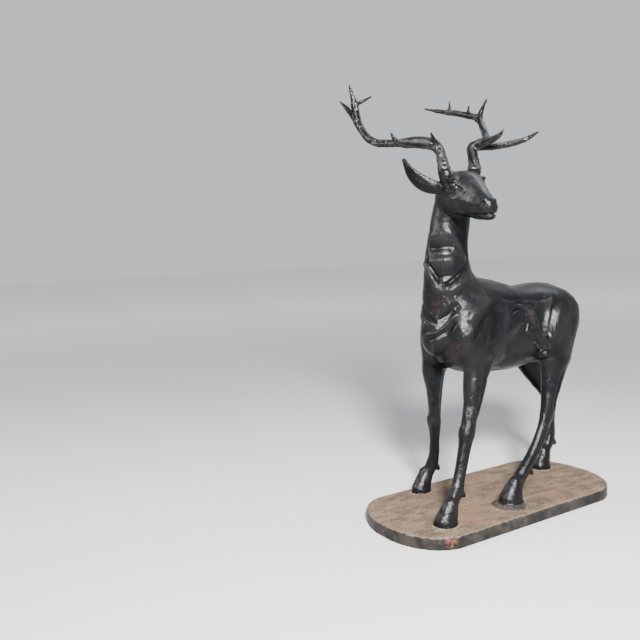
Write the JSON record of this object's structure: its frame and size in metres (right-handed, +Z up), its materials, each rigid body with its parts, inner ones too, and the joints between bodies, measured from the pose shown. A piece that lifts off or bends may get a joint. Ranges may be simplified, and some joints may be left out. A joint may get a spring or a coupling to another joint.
{
  "type": "cast iron stag statue",
  "caption": "Garden statue of a standing stag with its head turned to its left, cast in iron and fixed on a low plate with rounded ends.",
  "frame": {"origin": "centre of the base plate's underside", "axes": "+Z up, the body faces -Y, the stag's left side is +X"},
  "size_m": [0.7922, 1.1, 1.7099],
  "materials": {
    "base_iron": "weathered iron with a dusty grey-brown deck and rust at the rim",
    "black_iron": "semi-gloss near-black iron with faint red-brown rust",
    "antler_iron": "dark iron, rough as bark, worn bright on the ridges"
  },
  "bodies": {
    "root": {"base": "base_iron", "stag": "black_iron", "antler_right": "antler_iron", "antler_left": "antler_iron"}
  },
  "joints": []
}
